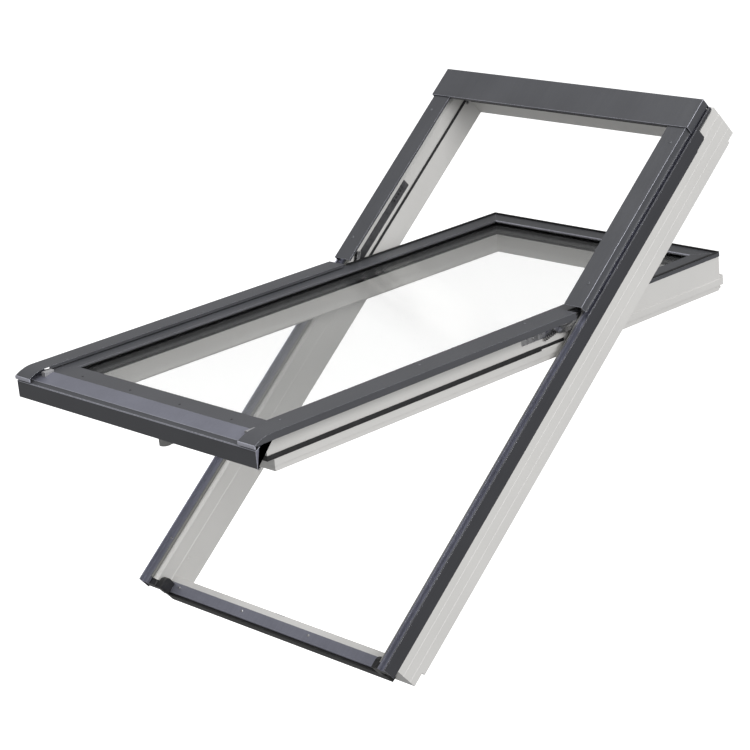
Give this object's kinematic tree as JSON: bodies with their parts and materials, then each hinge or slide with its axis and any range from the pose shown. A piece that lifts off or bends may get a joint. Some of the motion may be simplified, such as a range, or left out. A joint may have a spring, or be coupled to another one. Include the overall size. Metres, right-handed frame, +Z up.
{
  "type": "roof window",
  "caption": "Centre-hung roof window: plastic frame and double-glazed sash with folded metal covers, arc hinges, handle and bolts; the sash turns through to its cleaning position.",
  "frame": {"origin": "middle of the frame's opening on its room-side plane", "axes": "+X across the window to the right seen from outside, +Z up; the window stands in the pose of a 45 degree roof, its outer side facing -Y and +Z, with the sash open by 40 degrees"},
  "size_m": [0.78, 1.3886, 1.0585],
  "materials": {
    "frame_pvc": "satin white extruded PVC",
    "sash_pvc": "satin white extruded PVC",
    "cladding": "fine-textured anthracite powder coat",
    "gutter_sheet": "satin blue-grey coil coating",
    "rubber": "matt black extruded rubber",
    "black_plastic": "moulded black plastic",
    "glass": "clear float glass",
    "fastener_steel": "zinc-plated",
    "dark_screw": "black-passivated",
    "hinge_metal": "dark lacquered steel",
    "handle_metal": "satin anodised"
  },
  "bodies": {
    "frame": {"frame_jamb_left": "frame_pvc", "frame_jamb_right": "frame_pvc", "frame_head": "frame_pvc", "frame_sill": "frame_pvc", "frame_seal_head": "rubber", "frame_seal_left": "rubber", "frame_seal_right": "rubber", "sill_seal": "rubber", "head_hood": "cladding", "upper_cover_left": "cladding", "upper_cover_right": "cladding", "side_flashing_left": "gutter_sheet", "side_flashing_right": "gutter_sheet", "sill_cladding": "gutter_sheet", "sill_cap_left": "black_plastic", "sill_cap_right": "black_plastic", "cover_clips": "black_plastic", "upper_cover_screws": "fastener_steel", "flashing_screws": "fastener_steel", "sill_rivets": "fastener_steel", "hinge_guide_left": "hinge_metal", "hinge_guide_right": "hinge_metal", "hinge_guide_screws": "dark_screw", "strike_plate": "fastener_steel", "bolt_bush": "fastener_steel", "frame_plugs": "frame_pvc"},
    "slider_left": {"hinge_slider_left": "hinge_metal"},
    "slider_right": {"hinge_slider_right": "hinge_metal"},
    "sash": {"sash_rail_left": "sash_pvc", "sash_rail_right": "sash_pvc", "sash_rail_top": "sash_pvc", "sash_rail_bottom": "sash_pvc", "outer_pane": "glass", "inner_pane": "glass", "pane_spacer": "rubber", "outer_glazing_gasket": "rubber", "inner_glazing_gasket": "rubber", "sash_seal": "rubber", "sash_lip_seal": "rubber", "sash_trim_left": "cladding", "sash_trim_right": "cladding", "sash_trim_top": "cladding", "sash_trim_bottom": "cladding", "bottom_skirt": "cladding", "sash_cover_left": "cladding", "sash_cover_right": "cladding", "sash_cover_clips": "black_plastic", "sash_cover_screws": "fastener_steel", "trim_screws": "dark_screw", "hinge_shoe_left": "hinge_metal", "hinge_shoe_right": "hinge_metal", "hinge_shoe_screws": "fastener_steel", "lock_case": "fastener_steel", "handle_rose": "handle_metal", "corner_plug": "black_plastic"},
    "handle": {"handle_lever": "handle_metal"},
    "lock_bolt": {"lock_bolt": "fastener_steel"},
    "cleaning_bolt": {"cleaning_bolt": "fastener_steel"}
  },
  "joints": [
    {"name": "sash_pivot", "type": "hinge", "parent": "frame", "child": "sash", "pos_m": [0, 0.00495, 0.21425], "axis": [-1, 0, 0], "range_deg": [-40, 114]},
    {"name": "slider_left_turn", "type": "hinge", "parent": "frame", "child": "slider_left", "pos_m": [0, 0.00495, 0.21425], "axis": [-1, 0, 0], "range_deg": [-20, 57]},
    {"name": "slider_right_turn", "type": "hinge", "parent": "frame", "child": "slider_right", "pos_m": [0, 0.00495, 0.21425], "axis": [-1, 0, 0], "range_deg": [-20, 57]},
    {"name": "handle_turn", "type": "hinge", "parent": "sash", "child": "handle", "pos_m": [-0.016, -0.76716, 0.02122], "axis": [0, -0.0872, 0.9962], "range_deg": [0, 90]},
    {"name": "lock_bolt_slide", "type": "slide", "parent": "sash", "child": "lock_bolt", "axis": [0, -0.9962, -0.0872], "range_m": [0, 0.008]},
    {"name": "cleaning_bolt_slide", "type": "slide", "parent": "sash", "child": "cleaning_bolt", "axis": [-1, 0, 0], "range_m": [0, 0.013]}
  ],
  "couplings": [
    {"joint": "slider_left_turn", "follows": "sash_pivot", "ratio": 0.5},
    {"joint": "slider_right_turn", "follows": "sash_pivot", "ratio": 0.5},
    {"joint": "lock_bolt_slide", "follows": "handle_turn", "m_per_rad": 0.0050929}
  ]
}
